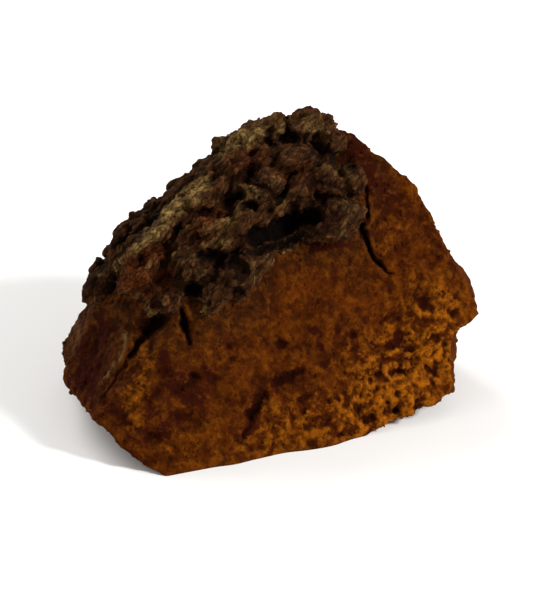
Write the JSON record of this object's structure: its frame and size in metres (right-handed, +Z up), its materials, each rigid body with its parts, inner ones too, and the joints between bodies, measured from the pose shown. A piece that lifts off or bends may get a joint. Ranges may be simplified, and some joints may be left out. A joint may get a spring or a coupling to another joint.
{
  "type": "chaga mushroom chunk",
  "caption": "Broken chunk of dried chaga: a lumpy, cracked black-brown crust over orange-brown corky flesh, with a flat side to rest on.",
  "frame": {"origin": "the middle of the chunk's box in X and Y, on the flat side that it rests on", "axes": "+Z up from the flat side, +X along the chunk's longest side; the broken flesh face looks towards -Y and the crust lies up and towards -X"},
  "size_m": [0.0478, 0.0412, 0.0328],
  "materials": {
    "chaga": "dry and dull: grainy orange-brown flesh where it broke, rough brown-black crust"
  },
  "bodies": {
    "root": {"chaga_chunk": "chaga"}
  },
  "joints": []
}
